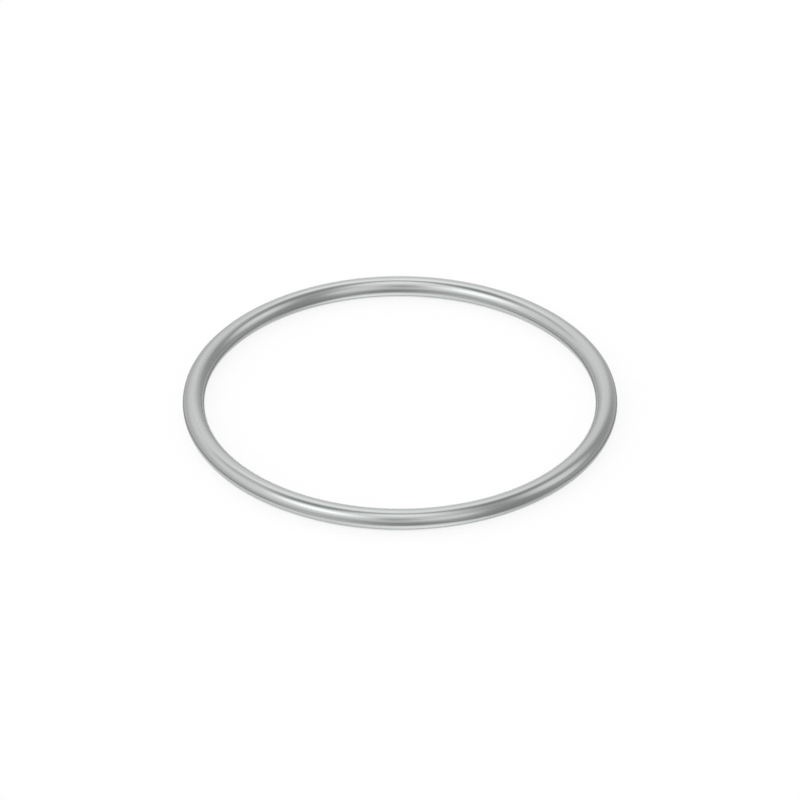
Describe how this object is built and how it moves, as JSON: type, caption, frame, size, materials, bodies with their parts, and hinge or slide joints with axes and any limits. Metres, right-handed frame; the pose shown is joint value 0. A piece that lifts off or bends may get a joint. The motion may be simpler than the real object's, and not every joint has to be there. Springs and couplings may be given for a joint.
{
  "type": "o-ring",
  "caption": "Plain o-ring: a continuous ring of solid round section in satin steel, clamped in a groove to seal between flanges or round a shaft.",
  "frame": {"origin": "centre of the ring, half-way up its round section", "axes": "+Z along the ring's axis, upwards as it lies flat; X and Y lie in the ring's plane and are alike, because the ring is the same all round"},
  "size_m": [0.06, 0.06, 0.003],
  "materials": {
    "satin_steel": "satin, with very fine drawing lines that run round the ring"
  },
  "bodies": {
    "root": {"o_ring": "satin_steel"}
  },
  "joints": []
}
